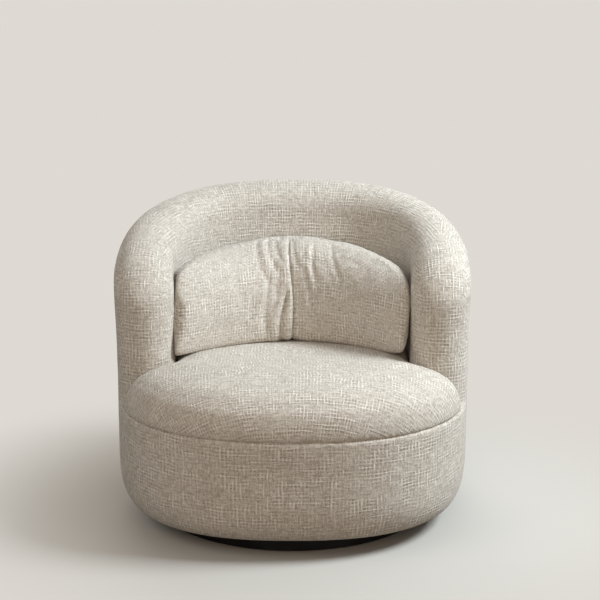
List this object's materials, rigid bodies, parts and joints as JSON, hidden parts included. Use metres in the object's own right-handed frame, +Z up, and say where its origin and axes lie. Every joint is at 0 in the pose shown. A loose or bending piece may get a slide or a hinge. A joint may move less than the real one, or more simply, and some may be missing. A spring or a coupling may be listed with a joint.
{
  "type": "swivel barrel chair",
  "caption": "Low round upholstered tub chair on a swivel plinth, with a rolled sloping rim, a domed seat and a loose lumbar cushion.",
  "frame": {"origin": "on the floor, under the middle of the chair, on the swivel axis", "axes": "+Z up along the swivel axis, -Y the way that the chair faces, +X to the right seen from the front"},
  "size_m": [0.84, 0.82, 0.735],
  "materials": {
    "upholstery": "oatmeal slub chenille weave",
    "lumbar_fabric": "oatmeal slub chenille weave, soft",
    "foam": "open-cell upholstery foam",
    "fibre": "fibre filling in a white inner bag",
    "dust_cloth": "black non-woven cloth",
    "zip_tape": "coil zip on woven tape",
    "plywood": "raw birch plywood",
    "plinth_black": "board with a satin black lacquer",
    "glide_black": "moulded polypropylene",
    "zinc_plate": "pressed zinc-plated steel",
    "ball_steel": "ground and polished bearing steel",
    "spring_steel": "drawn spring wire, oiled"
  },
  "bodies": {
    "base": {"plinth": "plinth_black", "glides": "glide_black", "lower_bearing_plate": "zinc_plate", "lower_plate_screws": "zinc_plate"},
    "ball_race": {"bearing_balls": "ball_steel", "ball_cage": "zinc_plate"},
    "chair": {"upper_bearing_plate": "zinc_plate", "upper_plate_bolts": "zinc_plate", "tee_nuts": "zinc_plate", "deck_board": "plywood", "dust_cover": "dust_cloth", "drum_ribs": "plywood", "seat_ring": "plywood", "ring_screws": "zinc_plate", "wall_posts": "plywood", "top_rail": "plywood", "seat_springs": "spring_steel", "spring_clips": "zinc_plate", "seat_decking": "dust_cloth", "seat_foam": "foam", "seat_cushion": "upholstery", "drum_padding": "upholstery", "outer_wall_padding": "upholstery", "inner_wall_padding": "upholstery"},
    "lumbar_cushion": {"lumbar_cover": "lumbar_fabric", "lumbar_insert": "fibre", "lumbar_zip": "zip_tape"}
  },
  "joints": [
    {"name": "swivel", "type": "hinge", "parent": "base", "child": "chair", "pos_m": [0, 0, 0.035], "axis": [0, 0, 1], "continuous": true},
    {"name": "ball_roll", "type": "hinge", "parent": "base", "child": "ball_race", "pos_m": [0, 0, 0.035], "axis": [0, 0, 1], "continuous": true},
    {"name": "lumbar_lift", "type": "slide", "parent": "chair", "child": "lumbar_cushion", "axis": [0, 0, 1], "range_m": [0, 0.45]}
  ],
  "couplings": [
    {"joint": "ball_roll", "follows": "swivel", "ratio": 0.5}
  ]
}
